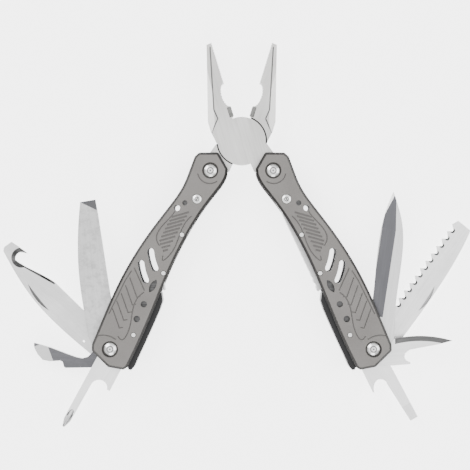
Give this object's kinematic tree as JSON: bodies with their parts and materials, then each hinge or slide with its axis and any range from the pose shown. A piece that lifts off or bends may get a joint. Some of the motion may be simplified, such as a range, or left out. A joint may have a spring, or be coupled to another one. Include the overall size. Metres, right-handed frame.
{
  "type": "folding multi tool",
  "caption": "Folding multi tool: plier head, two slotted metal handles with rocker locks, and folding file, cutters, openers, saw and screwdrivers, laid open.",
  "frame": {"origin": "centre of the bounding box's bottom face, in the plane that the back covers rest on", "axes": "+X towards the right handle, +Y from the pivot towards the jaw tips, +Z out of the front covers"},
  "size_m": [0.2041, 0.1664, 0.0168],
  "materials": {
    "jaw_steel": "satin brushed along the jaws",
    "rivet_steel": "turned, satin",
    "cover_metal": "matt bead-blasted titanium-grey coat",
    "liner_steel": "satin, stamped edges",
    "spine_steel": "satin",
    "spring_steel": "blued grey, satin",
    "black_lever": "black oxide, semi-matt",
    "polished_rivet": "polished domes",
    "washer_steel": "satin",
    "dark_steel": "satin, darker heat-treated tone",
    "blade_steel": "satin ground, fine lengthwise scratches"
  },
  "bodies": {
    "front_jaw": {"front_jaw": "jaw_steel", "jaw_rivet": "rivet_steel"},
    "rear_jaw": {"rear_jaw": "jaw_steel"},
    "left_head_axle": {"left_head_axle": "polished_rivet", "left_head_axle_bushings": "washer_steel"},
    "left_handle": {"left_cover_front": "cover_metal", "left_cover_back": "cover_metal", "left_liner_front": "liner_steel", "left_liner_back": "liner_steel", "left_spine": "spine_steel", "left_lock_spring": "spring_steel", "left_tool_axle": "polished_rivet", "left_tool_washers": "washer_steel", "left_cover_rivets": "polished_rivet", "left_cover_screws": "polished_rivet"},
    "left_lock_lever": {"left_lock_lever": "black_lever"},
    "left_file": {"left_file": "blade_steel"},
    "left_strap_cutter": {"left_strap_cutter": "blade_steel"},
    "left_can_opener": {"left_can_opener": "dark_steel"},
    "left_phillips_driver": {"left_phillips_driver": "blade_steel"},
    "right_head_axle": {"right_head_axle": "polished_rivet", "right_head_axle_bushings": "washer_steel"},
    "right_handle": {"right_cover_front": "cover_metal", "right_cover_back": "cover_metal", "right_liner_front": "liner_steel", "right_liner_back": "liner_steel", "right_spine": "spine_steel", "right_lock_spring": "spring_steel", "right_tool_axle": "polished_rivet", "right_tool_washers": "washer_steel", "right_cover_rivets": "polished_rivet", "right_cover_screws": "polished_rivet"},
    "right_lock_lever": {"right_lock_lever": "black_lever"},
    "right_knife": {"right_knife": "blade_steel"},
    "right_wood_saw": {"right_wood_saw": "blade_steel"},
    "right_small_blade": {"right_small_blade": "blade_steel"},
    "right_flat_driver": {"right_flat_driver": "blade_steel"}
  },
  "joints": [
    {"name": "jaw_pivot", "type": "hinge", "parent": "front_jaw", "child": "rear_jaw", "pos_m": [0.0019, 0.0407, 0.0084], "axis": [0, 0, 1], "range_deg": [0, 34]},
    {"name": "left_axle_in_jaw", "type": "hinge", "parent": "rear_jaw", "child": "left_head_axle", "pos_m": [-0.0116, 0.0277, 0.0084], "axis": [0, 0, -1], "range_deg": [0, 138]},
    {"name": "left_handle_on_axle", "type": "hinge", "parent": "left_head_axle", "child": "left_handle", "pos_m": [-0.0116, 0.0277, 0.0084], "axis": [0, 0, -1], "range_deg": [0, 27.1]},
    {"name": "left_lock_lever_press", "type": "hinge", "parent": "left_handle", "child": "left_lock_lever", "pos_m": [-0.04457, -0.0429, 0.0084], "axis": [0, 0, 1], "range_deg": [0, 3], "stiffness_Nm_per_rad": 1, "springref_deg": -2.86},
    {"name": "left_file_fold", "type": "hinge", "parent": "left_handle", "child": "left_file", "pos_m": [-0.05467, -0.04904, 0.0084], "axis": [0, 0, -1], "range_deg": [-142, 34.5]},
    {"name": "left_strap_cutter_fold", "type": "hinge", "parent": "left_handle", "child": "left_strap_cutter", "pos_m": [-0.05467, -0.04904, 0.0084], "axis": [0, 0, -1], "range_deg": [-105, 72.5]},
    {"name": "left_can_opener_fold", "type": "hinge", "parent": "left_handle", "child": "left_can_opener", "pos_m": [-0.05467, -0.04904, 0.0084], "axis": [0, 0, -1], "range_deg": [-60.6, 117.4]},
    {"name": "left_phillips_driver_fold", "type": "hinge", "parent": "left_handle", "child": "left_phillips_driver", "pos_m": [-0.05467, -0.04904, 0.0084], "axis": [0, 0, -1], "range_deg": [0, 177]},
    {"name": "right_axle_in_jaw", "type": "hinge", "parent": "front_jaw", "child": "right_head_axle", "pos_m": [0.0154, 0.0277, 0.0084], "axis": [0, 0, 1], "range_deg": [0, 138]},
    {"name": "right_handle_on_axle", "type": "hinge", "parent": "right_head_axle", "child": "right_handle", "pos_m": [0.0154, 0.0277, 0.0084], "axis": [0, 0, 1], "range_deg": [0, 27.1]},
    {"name": "right_lock_lever_press", "type": "hinge", "parent": "right_handle", "child": "right_lock_lever", "pos_m": [0.04837, -0.0429, 0.0084], "axis": [0, 0, -1], "range_deg": [0, 3], "stiffness_Nm_per_rad": 1, "springref_deg": -2.86},
    {"name": "right_knife_fold", "type": "hinge", "parent": "right_handle", "child": "right_knife", "pos_m": [0.05847, -0.04904, 0.0084], "axis": [0, 0, 1], "range_deg": [-143.1, 33.9]},
    {"name": "right_wood_saw_fold", "type": "hinge", "parent": "right_handle", "child": "right_wood_saw", "pos_m": [0.05847, -0.04904, 0.0084], "axis": [0, 0, 1], "range_deg": [-114.7, 62.8]},
    {"name": "right_small_blade_fold", "type": "hinge", "parent": "right_handle", "child": "right_small_blade", "pos_m": [0.05847, -0.04904, 0.0084], "axis": [0, 0, 1], "range_deg": [-60.6, 112.4]},
    {"name": "right_flat_driver_fold", "type": "hinge", "parent": "right_handle", "child": "right_flat_driver", "pos_m": [0.05847, -0.04904, 0.0084], "axis": [0, 0, 1], "range_deg": [0, 177]}
  ]
}
